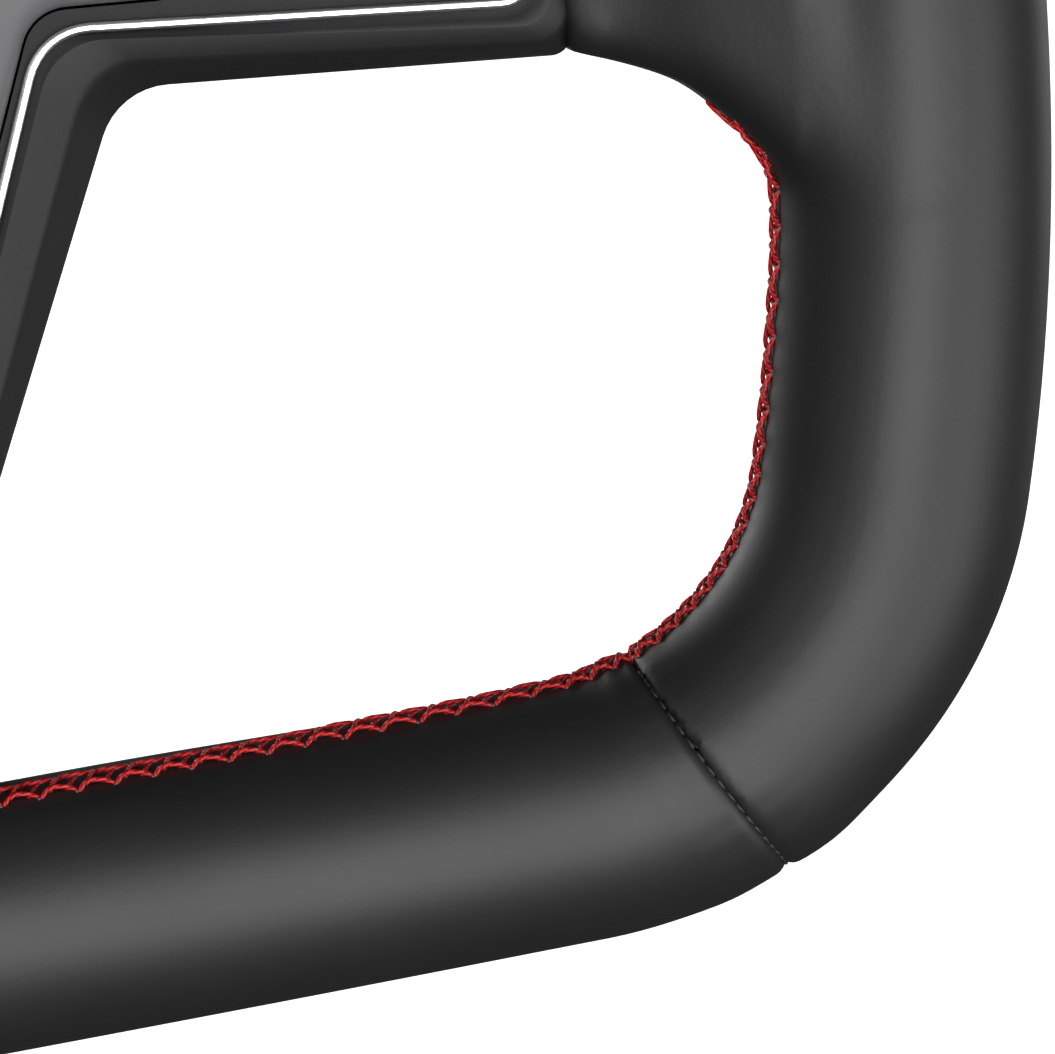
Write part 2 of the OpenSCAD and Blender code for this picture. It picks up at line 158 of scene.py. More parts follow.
# Each stretch: where it ends, and the centre it turns round and its radius, or none if straight
RIM_STRETCHES = [
    (corner_start, None, 0.0),
    (side_start, (corner_x, corner_z), CORNER_R),
    (top_start, (side_x, 0.0), SIDE_R),
    (top_end, (0.0, 0.0), HALF_W),
    (top_end + SIDE_R * SIDE_TURN, (-side_x, 0.0), SIDE_R),
    (top_end + SIDE_R * SIDE_TURN + CORNER_R * CORNER_TURN, (-corner_x, corner_z), CORNER_R),
    (rim_length, None, 0.0),
]


def rim_station(s):
    """The point on the rim's centreline at distance s, and its outward direction."""
    s = s % rim_length
    mirrored = s > rim_length / 2
    if mirrored:
        s = rim_length - s
    if s < corner_start:
        x, z, a = s, corner_z - CORNER_R, -math.pi / 2
    elif s < side_start:
        a = (s - corner_start) / CORNER_R - math.pi / 2
        x, z = corner_x + CORNER_R * math.cos(a), corner_z + CORNER_R * math.sin(a)
    elif s < top_start:
        a = (s - side_start) / SIDE_R - SIDE_TURN
        x, z = side_x + SIDE_R * math.cos(a), SIDE_R * math.sin(a)
    else:
        a = (s - top_start) / HALF_W
        x, z = HALF_W * math.cos(a), HALF_W * math.sin(a)
    sign = -1 if mirrored else 1
    return Vector((sign * x, RIM_Y, z)), Vector((sign * math.cos(a), 0, math.sin(a)))


def rim_coordinates(co):
    """Distance along the rim, angle round the grip and distance from its centreline, of points.
    The angle is 0 on the outside, 90 degrees on the column side and 180 on the inside."""
    x, z = np.abs(co[:, 0]), co[:, 2]
    turn = np.arctan2(z - corner_z, x - corner_x)
    s = x.copy()
    out = corner_z - CORNER_R - z
    in_corner = (turn > -math.pi / 2) & (turn <= -SIDE_TURN)
    s = np.where(in_corner, corner_start + CORNER_R * (turn + math.pi / 2), s)
    out = np.where(in_corner, np.hypot(x - corner_x, z - corner_z) - CORNER_R, out)
    above = (turn > -SIDE_TURN) & (x > corner_x) & (z < 0)
    s = np.where(above, side_start + SIDE_R * (np.arctan2(z, x - side_x) + SIDE_TURN), s)
    out = np.where(above, np.hypot(x - side_x, z) - SIDE_R, out)
    top = z >= 0
    s = np.where(top, top_start + HALF_W * np.arctan2(z, x), s)
    out = np.where(top, np.hypot(x, z) - HALF_W, out)
    s = np.where(co[:, 0] >= 0, s, rim_length - s)
    depth = co[:, 1] - RIM_Y
    return s, np.arctan2(depth, out), np.hypot(out, depth)


def section_at(bm, s, radius, sides):
    """A ring of edges round the grip at distance s."""
    point, outward = rim_station(s)
    forward = Vector((0, 1, 0)).cross(outward)
    place = Matrix((outward, Vector((0, 1, 0)), forward)).transposed().to_4x4()
    place.translation = point
    made = bmesh.ops.create_circle(bm, segments=sides, radius=radius, matrix=place)
    return list({e for v in made["verts"] for e in v.link_edges})


def follow_rim(bm, edges, start, end, step):
    """Carries a ring of edges along the rim and returns the last ring."""
    s = start
    while s < end - 1e-6:
        base = s // rim_length * rim_length
        stretch = next(r for r in RIM_STRETCHES if base + r[0] > s + 1e-7)
        reach = min(end, base + stretch[0])
        steps = max(1, round((reach - s) / step))
        last = list(edges) + list({v for e in edges for v in e.verts})
        if stretch[1] is None:
            for _ in range(steps):
                made = bmesh.ops.extrude_edge_only(bm, edges=edges)["geom"]
                moved = [g for g in made if isinstance(g, bmesh.types.BMVert)]
                bmesh.ops.translate(bm, vec=((reach - s) / steps, 0, 0), verts=moved)
                edges = [g for g in made if isinstance(g, bmesh.types.BMEdge)]
        else:
            (x, z), radius = stretch[1:]
            made = bmesh.ops.spin(bm, geom=last, cent=(x, RIM_Y, z), axis=(0, -1, 0),
                                  angle=(reach - s) / radius, steps=steps)["geom_last"]
            edges = [g for g in made if isinstance(g, bmesh.types.BMEdge)]
        s = reach
    return edges


def new_piece(name, bm, material, smooth_angle=None):
    """Makes a piece of a finished bmesh, smooth all over or up to an angle."""
    mesh = bpy.data.meshes.new(name)
    bm.to_mesh(mesh)
    bm.free()
    piece = bpy.data.objects.new(name, mesh)
    bpy.context.scene.collection.objects.link(piece)
    mesh.materials.append(material)
    mesh.shade_smooth()
    if smooth_angle is not None:
        mesh.set_sharp_from_angle(angle=math.radians(smooth_angle))
    return piece


# ---- Foam core ----
# Grey polyurethane foam, moulded over the steel ring as one closed tube.
# The leather is stretched over it, so only its firm round shape matters.

FOAM_R = 15.3 * MM
# the leather squeezes the foam by this much
SQUEEZED = 1.2 * MM
foam = finish_of("moulded_foam", (0.05, 0.05, 0.052), 0.85)
cells = add_node(foam, "ShaderNodeTexVoronoi",
                 [("Vector", part_coordinates(foam)), ("Scale", 1100.0)])
add_grain(foam, cells.outputs["Distance"], 0.0002, 0.5)
bm = bmesh.new()
first = section_at(bm, 0, FOAM_R - SQUEEZED, 40)
follow_rim(bm, first, 0, rim_length, 4 * MM)
bmesh.ops.remove_doubles(bm, verts=bm.verts, dist=1e-5)
bmesh.ops.recalc_face_normals(bm, faces=bm.faces)
foam_core = new_piece("foam_core", bm, foam)
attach(foam_core, "wheel")
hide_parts("rim_foam")


# ---- Leather covers ----
# Four panels of smooth black calf leather, cut narrow and stretched wet over the foam. Their
# ends are folded and sewn in seams that slant a little; their long edges meet on the inside.

LOWER_SEAM = corner_start + CORNER_R * math.radians(20)
UPPER_SEAM = top_start + HALF_W * math.radians(40)
SEAMS = [LOWER_SEAM, UPPER_SEAM, rim_length - UPPER_SEAM, rim_length - LOWER_SEAM]
STITCH_PITCH = 4.7 * MM
SKIN_T = 1.4 * MM
# how unevenly the hide lies, and how much it thins on the flat, on the outside of the corners,
# all along the inside, and on the inside next to the corners
SLACK, FLAT_THINS, CORNER_THINS = 0.10 * MM, 0.55 * MM, 0.6 * MM
INSIDE_THINS, INNER_BEND_THINS = 0.3 * MM, 0.55 * MM
# the groove of the lacing, and the dip at each of its stitches
LACING_GROOVE, STITCH_DIP = 0.35 * MM, 0.16 * MM
# the groove of a seam, the folded leather on one side of it, the swelling on the other
SEAM_GROOVE, FOLD, SWELL, PUCKER = 0.75 * MM, 0.22 * MM, 0.45 * MM, 0.035 * MM


def wrapped(values, centre):
    """Signed distance along the rim from a centre, the short way round."""
    return (values - centre + rim_length / 2) % rim_length - rim_length / 2


def ease(share):
    """A share from 0 to 1 that leaves and arrives gently."""
    share = np.clip(share, 0, 1)
    return share * share * (3 - 2 * share)


def hump(distance, width):
    """A smooth rise of height 1 that fades over a width on both sides."""
    return np.exp(-(distance / width) ** 2)


def lean(s):
    """How far the middle of the lacing sits towards the driver: well round on the flat bottom,
    and hardly at all from the top of the corners upwards."""
    return np.radians(2 + 20 * (1 - ease(np.abs(wrapped(s, 0)) / (170 * MM))))


def side_of(seam):
    return 1 if seam < rim_length / 2 else -1


def grip_radius(s, phi):
    """How far the leather stands from the rim's centreline."""
    outside, inside = 0.5 + 0.5 * np.cos(phi), 0.5 - 0.5 * np.cos(phi)
    along = np.abs(wrapped(s, 0))
    r = GRIP_R + SLACK * np.sin(s / (31 * MM)) * np.cos(phi * 2 + s / (55 * MM))
    r -= FLAT_THINS / (1 + np.exp((along - 108 * MM) / (9 * MM)))
    r -= inside ** 2 * (INSIDE_THINS + INNER_BEND_THINS * hump(along - 76 * MM, 24 * MM))
    # the edges dip into the lacing groove and are drawn in at every stitch
    from_lacing = np.abs((phi - lean(s) + 2 * math.pi) % (2 * math.pi) - math.pi) * GRIP_R
    r -= LACING_GROOVE * hump(from_lacing, 1.3 * MM)
    drawn_in = 0.5 + 0.5 * np.cos(2 * math.pi * s / STITCH_PITCH)
    r -= STITCH_DIP * hump(from_lacing - 3.0 * MM, 1.8 * MM) * drawn_in
    for side in (1, -1):
        # tighter on the outside of the bottom corners, where the leather is stretched hardest
        bend = wrapped(s, side * (corner_start + 27 * MM))
        r -= CORNER_THINS * hump(bend, 30 * MM) * outside ** 2
    for seam in SEAMS:
        away = wrapped(s, seam)
        near = np.abs(away)
        r -= SEAM_GROOVE * np.exp(-(near / (0.55 * MM)) ** 1.5)
        # the fold lies under the panel nearer the middle of the flat or of the top
        at_bottom = abs(wrapped(seam, 0)) < rim_length / 4
        inward = away * side_of(seam) * (-1 if at_bottom else 1)
        r += FOLD * hump(inward - 5.5 * MM, 3.2 * MM)
        r += SWELL * outside ** 2 * hump(-inward - 5.0 * MM, 4.5 * MM)
        r += PUCKER * hump(near, 5 * MM) * np.sin(phi * 23 + 1.7 * np.sin(phi * 5))
    return r


def sewn_at(s, phi):
    """Where a place near a seam really lies: the seams slant, and reach further on outside."""
    shift = np.zeros_like(s)
    for seam in SEAMS:
        slant = (2.2 * np.cos(phi) - 0.5) * MM
        shift += side_of(seam) * slant * hump(wrapped(s, seam), 14 * MM)
    return s + shift


def laid_on_grip(bm, verts, weight=None):
    """Moves vertices out or in along the grip's radius to the leather's own surface."""
    co = np.array([v.co for v in verts])
    s, phi, rho = rim_coordinates(co)
    centre_out = rho * np.cos(phi)
    ratio = grip_radius(s, phi) / np.maximum(rho, 1e-6)
    along = sewn_at(s, phi)
    for i, v in enumerate(verts):
        point, outward = rim_station(float(along[i]))
        target = point + outward * float(centre_out[i] * ratio[i])
        target.y = RIM_Y + (v.co.y - RIM_Y) * float(ratio[i])
        share = 1.0 if weight is None else float(weight[i])
        v.co = v.co.lerp(target, share)


def panel_walls(bm, start, end, radius, sides):
    """A tube along the rim with short steps next to both seams."""
    near_seam, short_step, long_step = 7 * MM, 0.45 * MM, 1.3 * MM
    first = section_at(bm, start, radius, sides)
    edges = follow_rim(bm, first, start, start + near_seam, short_step)
    edges = follow_rim(bm, edges, start + near_seam, end - near_seam, long_step)
    edges = follow_rim(bm, edges, end - near_seam, end, short_step)
    return first, edges


nappa = finish_of("black_nappa", (0.011, 0.011, 0.0115), 0.5, Specular_IOR_Level=0.5)
pores = add_node(nappa, "ShaderNodeTexVoronoi",
                 [("Vector", part_coordinates(nappa)), ("Scale", 1500.0)])
creases = noise(nappa, 420, 4.0, 0.6)
relief = add_grain(nappa, creases, 0.00005, 0.35)
add_grain(nappa, pores.outputs["Distance"], 0.00003, 0.35, relief)
vary(nappa, "Roughness", noise(nappa, 35, 3.0), 0.48, 0.55)
vary(nappa, "Base Color", noise(nappa, 90, 4.0),
     (0.008, 0.008, 0.0085), (0.012, 0.012, 0.0125))


def leather_piece(name, bm, nodes, smooth_angle=None):
    """Makes a padded piece of leather that rides on the wheel."""
    bmesh.ops.recalc_face_normals(bm, faces=bm.faces)
    piece = new_piece(name, bm, nappa, smooth_angle)
    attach(piece, "wheel")
    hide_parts(*nodes)
    return piece


def plain_panel(name, node, start, end):
    """A panel that only wraps the grip, with a real thickness at its ends."""
    bm = bmesh.new()
    outer_first, outer_last = panel_walls(bm, start, end, GRIP_R, 120)
    outside = list(bm.verts)
    inner_first, inner_last = panel_walls(bm, start, end, GRIP_R - SKIN_T, 120)
    bmesh.ops.bridge_loops(bm, edges=outer_first + inner_first)
    bmesh.ops.bridge_loops(bm, edges=outer_last + inner_last)
    laid_on_grip(bm, outside)
    bmesh.ops.remove_doubles(bm, verts=bm.verts, dist=1e-6)
    return leather_piece(name, bm, [node], 60)


# The side panels also cover the roots of the side spokes, so tube and root are joined into
# one skin and the corner between them is worked smooth. At the bezel a root's front and back
# stand this far from the rim's plane, and the front rises by this slope towards the grip.
ROOT_FRONT, ROOT_BACK, ROOT_RISE, ROOT_EDGE = 4.2 * MM, 14 * MM, 0.36, 5 * MM
ROOT_OUTLINE = [
    (114.3, 31), (121, 34), (127, 37), (132, 43), (136, 51), (145, 58),
    (145, -58), (136, -51), (132.5, -45.5), (127, -39.5), (121, -36.4), (114.3, -33.6),
]


# outwards of the tip the skin is worked smooth; the tip itself keeps its crisp end
ROOT_TIP, ROOT_REACH = 117.5 * MM, 68 * MM
HOLLOW_REACH, HOLLOW_IN, HOLLOW_OUT = 60 * MM, -15 * MM, 4 * MM


def spoke_root(bm):
    """A block of the root's outline, with its long edges rounded."""
    corners = [bm.verts.new((x * MM, RIM_Y, z * MM)) for x, z in ROOT_OUTLINE]
    made = bmesh.ops.extrude_face_region(bm, geom=[bm.faces.new(corners)])["geom"]
    back = [g for g in made if isinstance(g, bmesh.types.BMVert)]
    bmesh.ops.translate(bm, vec=(0, ROOT_BACK, 0), verts=back)
    for v in corners:
        v.co.y -= ROOT_FRONT + max(0.0, v.co.x - ROOT_OUTLINE[0][0] * MM) * ROOT_RISE
    block = set(corners) | set(back)
    long_edges = [e for e in bm.edges if set(e.verts) <= block
                  and abs(e.verts[0].co.x - e.verts[1].co.x) > MM]
    bmesh.ops.bevel(bm, geom=long_edges, offset=ROOT_EDGE, offset_type="OFFSET", segments=5,
                    affect="EDGES", profile=0.5, material=-1, clamp_overlap=True)
    # a tongue of the covered foam runs on under the bezel's end
    tongue = bmesh.ops.create_cube(bm, size=1.0)["verts"]
    bmesh.ops.scale(bm, vec=(16 * MM, 12 * MM, 56 * MM), verts=tongue)
    bmesh.ops.translate(bm, vec=(112 * MM, RIM_Y + 4.5 * MM, -1.4 * MM), verts=tongue)


def one_skin(bm):
    """Joins everything in a bmesh into one closed even skin."""
    bmesh.ops.recalc_face_normals(bm, faces=bm.faces)
    rough = new_piece("side_panel_rough", bm, nappa)
    remesh = rough.modifiers.new("skin", "REMESH")
    remesh.mode = "VOXEL"
    remesh.voxel_size = 1.05 * MM
    graph = bpy.context.evaluated_depsgraph_get()
    skin = bpy.data.meshes.new_from_object(rough.evaluated_get(graph))
    bpy.data.objects.remove(rough)
    bm = bmesh.new()
    bm.from_mesh(skin)
    bpy.data.meshes.remove(skin)
    return bm


def worked_smooth(bm, verts, times):
    for _ in range(times):
        bmesh.ops.smooth_vert(bm, verts=verts, factor=0.5,
                              use_axis_x=True, use_axis_y=True, use_axis_z=True)


def side_panel(name, nodes, flip):
    """A panel round the side of the grip and the root of the side spoke."""
    bm = bmesh.new()
    for rim_end in panel_walls(bm, LOWER_SEAM, UPPER_SEAM, GRIP_R, 96):
        bmesh.ops.edgeloop_fill(bm, edges=rim_end)
    spoke_root(bm)
    bm = one_skin(bm)
    tip = [v for v in bm.verts if v.co.x <= ROOT_TIP]
    beyond = [v for v in bm.verts if v.co.x > ROOT_TIP and abs(v.co.z) < ROOT_REACH]
    worked_smooth(bm, beyond, 30)
    worked_smooth(bm, tip, 3)
    co = np.array([v.co for v in bm.verts])
    s, phi, rho = rim_coordinates(co)
    out, height = rho * np.cos(phi), np.abs(co[:, 2])
    # the grip's own surface is laid everywhere but on the root and on the flat ends
    root_share = ease((66 * MM - height) / (14 * MM)) * ease((-out - 3 * MM) / (7 * MM))
    to_end = np.minimum(np.abs(wrapped(s, LOWER_SEAM)), np.abs(wrapped(s, UPPER_SEAM)))
    on_end = (to_end < 0.9 * MM) & (rho < GRIP_R - 1.5 * MM)
    laid_on_grip(bm, list(bm.verts), np.where(on_end, 0.0, 1 - root_share))
    # the leather bridges the hollow between root and tube
    hollow = [v for v, z, o in zip(bm.verts, height, out)
              if z < HOLLOW_REACH and HOLLOW_IN < o < HOLLOW_OUT]
    worked_smooth(bm, hollow, 24)
    if flip:
        bmesh.ops.scale(bm, vec=(-1, 1, 1), verts=bm.verts)
    return leather_piece(name, bm, nodes)


covers = [
    plain_panel("cover_lower", "leather_lower", rim_length - LOWER_SEAM, rim_length + LOWER_SEAM),
    plain_panel("cover_upper", "leather_upper", UPPER_SEAM, rim_length - UPPER_SEAM),
    side_panel("cover_right", ["leather_right", "spoke_root_right"], False),
    side_panel("cover_left", ["leather_left", "spoke_root_left"], True),
]


# ---- Seam threads ----
# Waxed black thread sewn through the folded panel ends, sunk in the groove of each seam.
# One broken ring of stitches goes round the grip at each of the four seams.

SEAM_THREAD_R = 0.24 * MM
# a stitch and its gap span this angle round the grip, and the stitch takes this share of it
SEAM_STITCH, STITCH_SHARE = math.radians(7.5), 0.8
FIRST_STITCH, LAST_STITCH = math.radians(-156), math.radians(160)


def thread_mesh(name, paths, radius, material, resolution=1):
    """One mesh of round strands laid along lists of points."""
    curve = bpy.data.curves.new(name, "CURVE")
    curve.dimensions = "3D"
    curve.bevel_depth = radius
    curve.bevel_resolution = resolution
    curve.use_fill_caps = True
    for path in paths:
        spline = curve.splines.new("POLY")
        spline.points.add(len(path) - 1)
        for point, co in zip(spline.points, path):
            point.co = (*co, 1.0)
    source = bpy.data.objects.new(name + "_path", curve)
    bpy.context.scene.collection.objects.link(source)
    graph = bpy.context.evaluated_depsgraph_get()
    strands = bpy.data.meshes.new_from_object(source.evaluated_get(graph))
    bpy.data.objects.remove(source)
    bm = bmesh.new()
    bm.from_mesh(strands)
    bpy.data.meshes.remove(strands)
    bmesh.ops.remove_doubles(bm, verts=bm.verts, dist=1e-6)
    bmesh.ops.recalc_face_normals(bm, faces=bm.faces)
    return new_piece(name, bm, material, 70)


def on_grip(s, phi, lift):
    """A point on the leather's surface at angle phi round the grip, lifted off it."""
    place = np.array([s % rim_length]), np.array([phi])
    point, outward = rim_station(float(sewn_at(*place)[0]))
    r = float(grip_radius(*place)[0]) + lift
    return point + outward * (r * math.cos(phi)) + Vector((0, r * math.sin(phi), 0))


def seam_stitch(seam, phi):
    """The points of one stitch, which dives into the leather at both ends."""
    points = []
    for t in np.linspace(0, STITCH_SHARE, 6):
        lift = (0.10 - 0.40 * (2 * t / STITCH_SHARE - 1) ** 4) * MM
        points.append(on_grip(seam, phi + SEAM_STITCH * t, lift))
    return points


waxed = finish_of("waxed_black_thread", (0.012, 0.012, 0.012), 0.55)
add_grain(waxed, noise(waxed, 2500, 2.0), 0.0001, 0.6)
stitches = []
for seam in SEAMS:
    phi = FIRST_STITCH
    while phi < LAST_STITCH:
        stitches.append(seam_stitch(seam, phi))
        phi += SEAM_STITCH
seam_stitches = thread_mesh("seam_stitches", stitches, SEAM_THREAD_R, waxed)
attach(seam_stitches, "wheel")
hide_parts("seam_threads")


# ---- Lacing ----
# Two-ply deep red polyester thread that draws the long edges of the leather together.
# Each stitch locks over the one before: arches along both rows of holes and bars between.

STRAND_R = 0.31 * MM
LACING_W = 4.7 * MM
HOLE_R = 0.17 * MM


def surface_of(piece):
    """A piece's surface, ready for points to be dropped on it."""
    bm = bmesh.new()
    bm.from_mesh(piece.data)
    tree = BVHTree.FromBMesh(bm)
    bm.free()
    return tree


cover_surfaces = [surface_of(piece) for piece in covers]


def on_leather(s, across, lift):
    """A point on the leather beside the lacing's middle line, lifted off it. Positive across
    is towards the driver."""
    point, outward = rim_station(s)
    theta = float(lean(s)) + across / GRIP_R
    ray = -outward * math.cos(theta) - Vector((0, math.sin(theta), 0))
    clear_of_grip, furthest = 44 * MM, 40 * MM
    origin = point + ray * clear_of_grip
    hits = [surface.ray_cast(origin, -ray, furthest) for surface in cover_surfaces]
    hits = [h for h in hits if h[0] is not None]
    if not hits:
        return point + ray * (GRIP_R + lift)
    nearest = min(hits, key=lambda h: h[3])
    return nearest[0] + ray * lift


# One unit of each strand: share of the pitch along, share of the half width across, lift in mm
ARCH = [(0.00, 1.02, -0.35), (0.05, 0.97, 0.12), (0.15, 0.74, 0.42), (0.30, 0.55, 0.60),
        (0.50, 0.50, 0.58), (0.72, 0.62, 0.42), (0.88, 0.78, 0.15), (0.96, 0.88, -0.3)]
BAR = [(0.24, 0.62, 0.30), (0.30, 0.34, 0.62), (0.37, -0.05, 0.72), (0.44, -0.42, 0.62),
       (0.52, -0.72, 0.25)]
UNDER = [(0.70, 0.66, -0.1), (0.76, 0.30, 0.10), (0.84, -0.1, 0.14), (0.92, -0.45, 0.10),
         (0.99, -0.76, -0.1)]


def laid_strand(rng, start, unit, mirror, shift):
    """One strand of a stitch laid on the leather, a little out of true as hand work is."""
    along, across = rng.normal(0, 0.035, 2)
    return [on_leather(start + (t + shift + along * 0.6) * STITCH_PITCH,
                       (a + across) * mirror * LACING_W / 2, h * MM) for t, a, h in unit]


def lacing_paths(start, end, seed):
    """The strands of a stretch of lacing, and a short pale mark at each needle hole, a painted
    glint.
    """
    rng = np.random.default_rng(seed)
    paths, hole_glints = [], []
    for i in range(int((end - start) / STITCH_PITCH)):
        s = start + i * STITCH_PITCH
        for unit, side, shift in ((ARCH, 1, 0.0), (ARCH, -1, 0.5), (BAR, 1, 0.0), (UNDER, 1, 0.0)):
            paths.append(laid_strand(rng, s, unit, side, shift))
        # a short pale mark at each needle hole: a painted glint
        for side, shift in ((1, 0.0), (-1, 0.5)):
            hole_row, ends = side * LACING_W * 0.53, (shift - 0.08, shift - 0.02)
            hole_glints.append([on_leather(s + t * STITCH_PITCH, hole_row, 0.02 * MM) for t in ends])
    return paths, hole_glints


def calculated(material, operation, first, second=0.0):
    links = [(0, first), (1, second)]
    return add_node(material, "ShaderNodeMath", links, operation=operation).outputs[0]


red_thread = finish_of("red_polyester_thread", (0.4, 0.01, 0.014), 0.42, Specular_IOR_Level=0.4)
# two plies wind round each other: bands that climb along the strand as they go round it. The bands
# raise the bump, and they also paint the colour darker in the grooves (painted shade) and lighter
# on the crests (painted highlight)
strand_uv = add_node(red_thread, "ShaderNodeUVMap", uv_map="UVMap")
split = add_node(red_thread, "ShaderNodeSeparateXYZ", [("Vector", strand_uv.outputs["UV"])])
wound = calculated(red_thread, "MULTIPLY", split.outputs["X"], 2.6)
climbing = calculated(red_thread, "ADD", wound, split.outputs["Y"])
both_plies = calculated(red_thread, "MULTIPLY", climbing, 4 * math.pi)
wave = calculated(red_thread, "SINE", both_plies)
ply_relief_and_shade = add_node(red_thread, "ShaderNodeMapRange",
                 [("Value", wave), ("From Min", -1.0)]).outputs["Result"]
fuzz = noise(red_thread, 3500, 2.0)
twisted = add_grain(red_thread, ply_relief_and_shade, 0.00015, 0.7)
add_grain(red_thread, fuzz, 0.00008, 0.5, twisted)
# the colour is darker in the grooves between the plies, which is painted shade, and lighter on
# their crests, which is a painted highlight
vary(red_thread, "Base Color", ply_relief_and_shade, (0.30, 0.004, 0.006), (0.62, 0.022, 0.024))

# pale grey marks at the needle holes: painted glints on the black leather
painted_hole_glint = finish_of("needle_hole_painted_glint", (0.10, 0.10, 0.10), 0.6)
# the lacing stops at the heights where the roots of the side spokes begin
ROOT_LOW, ROOT_HIGH = -46.5 * MM, 45 * MM
lower_reach = side_start + SIDE_R * (SIDE_TURN + math.asin(ROOT_LOW / SIDE_R))
upper_start = top_start + HALF_W * math.asin(ROOT_HIGH / HALF_W)
for name, node, start, end, seed in (
        ("lacing_threads_lower", "lacing_lower", -lower_reach, lower_reach, 11),
        ("lacing_threads_upper", "lacing_upper", upper_start, rim_length - upper_start, 12)):
    strands, hole_glints = lacing_paths(start, end, seed)
    laced = thread_mesh(name, strands, STRAND_R, red_thread)
    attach(laced, "wheel")
    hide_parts(node)
    # the pale needle-hole marks, which are painted glints
    glint_marks = thread_mesh(name + "_holes", hole_glints, HOLE_R, painted_hole_glint)
    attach(glint_marks, "wheel")


# ---- Front bezel ----
# A fine-grained black plastic frame over the three spokes, moulded in one piece with thin
# walls. Six screws through the rear cover hold it, and its front edge grips the chrome strip.

def outline_corner(before, corner, after, radius, steps):
    """Points of the arc that rounds one corner of an outline."""
    a, b = (before - corner).normalized(), (after - corner).normalized()
    half = math.acos(max(-1.0, min(1.0, a.dot(b)))) / 2
    nearly_straight = math.radians(89.2)
    if half > nearly_straight:
        return [corner.copy() for _ in range(steps + 1)]
    room = min((before - corner).length, (after - corner).length) * 0.49
    reach = min(radius / math.tan(half), room)
    radius = reach * math.tan(half)
    centre = corner + (a + b).normalized() * (radius / math.sin(half))
    first, last = corner + a * reach - centre, corner + b * reach - centre
    turn = first.angle_signed(last)
    arc = []
    for i in range(steps + 1):
        arm = first.copy()
        arm.rotate(Matrix.Rotation(-turn * i / steps, 2))
        arc.append(centre + arm)
    return arc


def outline(half, inner, outer, steps=8):
    """The rounded closed outline whose right half is given from top to bottom, in mm."""
    right = [Vector(p) for p in half]
    left = [Vector((-x, z)) for x, z in reversed(half[1:-1])]
    corners = right + left
    points = []
    for i, corner in enumerate(corners):
        before, after = corners[i - 1], corners[(i + 1) % len(corners)]
        hollow = (corner - before).cross(after - corner) > 0
        points += outline_corner(before, corner, after, inner if hollow else outer, steps)
    # long straight stretches get points of their own, at the same shares in every outline
    spread = []
    for i, point in enumerate(points):
        spread.append(point)
        if i % (steps + 1) == steps:
            beyond = points[(i + 1) % len(points)]
            spread += [point.lerp(beyond, k / 6) for k in range(1, 6)]
    return spread


def shifted(points, distance):
    """An outline moved outwards square to itself."""
    moved = []
    for i, point in enumerate(points):
        k = 1
        while (points[(i + k) % len(points)] - points[i - k]).length < 0.02:
            k += 1
        run = (points[(i + k) % len(points)] - points[i - k]).normalized()
        moved.append(point + Vector((-run.y, run.x)) * distance)
    return moved


def between(first, second, share):
    """The outline that lies at a share of the way from one outline to another."""
    return [a.lerp(b, share) for a, b in zip(first, second)]


def ring_loft(rings, closed):
    """Skins a row of rings, each an outline in mm and its height in front of the rim plane.
    A closed row joins up on itself; the ends of an open one are filled flat."""
    bm = bmesh.new()
    loops = []
    for points, height in rings:
        verts = [bm.verts.new((p.x * MM, RIM_Y - height * MM, p.y * MM)) for p in points]
        loops.append([bm.edges.new((verts[i - 1], verts[i])) for i in range(len(verts))])
    for first, second in zip(loops, loops[1:] + (loops[:1] if closed else [])):
        bmesh.ops.bridge_loops(bm, edges=first + second)
    if not closed:
        for loop in (loops[0], loops[-1]):
            bmesh.ops.triangle_fill(bm, use_beauty=True, edges=loop)
    bmesh.ops.remove_doubles(bm, verts=bm.verts, dist=2e-6)
    bmesh.ops.recalc_face_normals(bm, faces=bm.faces)
    return bm


BEZEL_HALF = [(0, 57), (46, 52), (64, 33.5), (115.4, 31), (115.4, -34.3), (59.45, -28.4),
              (19.3, -106.8), (0, -106.8)]
# where the front band turns over into the side wall, and the crease between its two slopes
TURN_HALF = [(0, 54.2), (44.5, 49.6), (61.6, 31.2), (114.4, 29.3), (114.4, -32.0), (56.0, -24.2),
             (20.2, -101.4), (0, -101.4)]
CREASE_HALF = [(0, 52.4), (43, 48), (60, 29), (112.8, 27.2), (112.8, -29.9), (52.4, -20.9),
               (17.7, -98.1), (0, -98.1)]
WINDOW_HALF = [(0, 48.5), (41, 44.5), (57, 25.5), (110.5, 23.5), (110.5, -26.5), (51, -19.3),
               (16.8, -97), (0, -97)]
CHROME_W = 1.3
bezel_outline = outline(BEZEL_HALF, 9, 2.6)
turn_outline = outline(TURN_HALF, 8.6, 4)
crease_outline = outline(CREASE_HALF, 8.2, 3.8)
strip_line = outline(WINDOW_HALF, 8, 3.5)
window_outline = shifted(strip_line, CHROME_W / 2)
# Rings of the closed section: two outlines, the share of the way between them, and the height
BEZEL_SECTION = [
    (window_outline, crease_outline, 0.0, 4.2), (window_outline, crease_outline, 0.5, 4.7),
    (window_outline, crease_outline, 0.97, 5.18), (crease_outline, turn_outline, 0.03, 5.14),
    (crease_outline, turn_outline, 0.5, 4.6), (crease_outline, turn_outline, 0.9, 4.0),
    (turn_outline, bezel_outline, 0.04, 3.7), (turn_outline, bezel_outline, 0.14, 2.9),
    (turn_outline, bezel_outline, 0.28, 1.6), (turn_outline, bezel_outline, 0.5, -1.2),
    (turn_outline, bezel_outline, 0.8, -5.0), (turn_outline, bezel_outline, 1.0, -8.0),
    (window_outline, bezel_outline, 0.78, -8.0), (window_outline, bezel_outline, 0.68, -2.0),
    (window_outline, bezel_outline, 0.5, 1.2), (window_outline, crease_outline, 0.1, 2.2)]
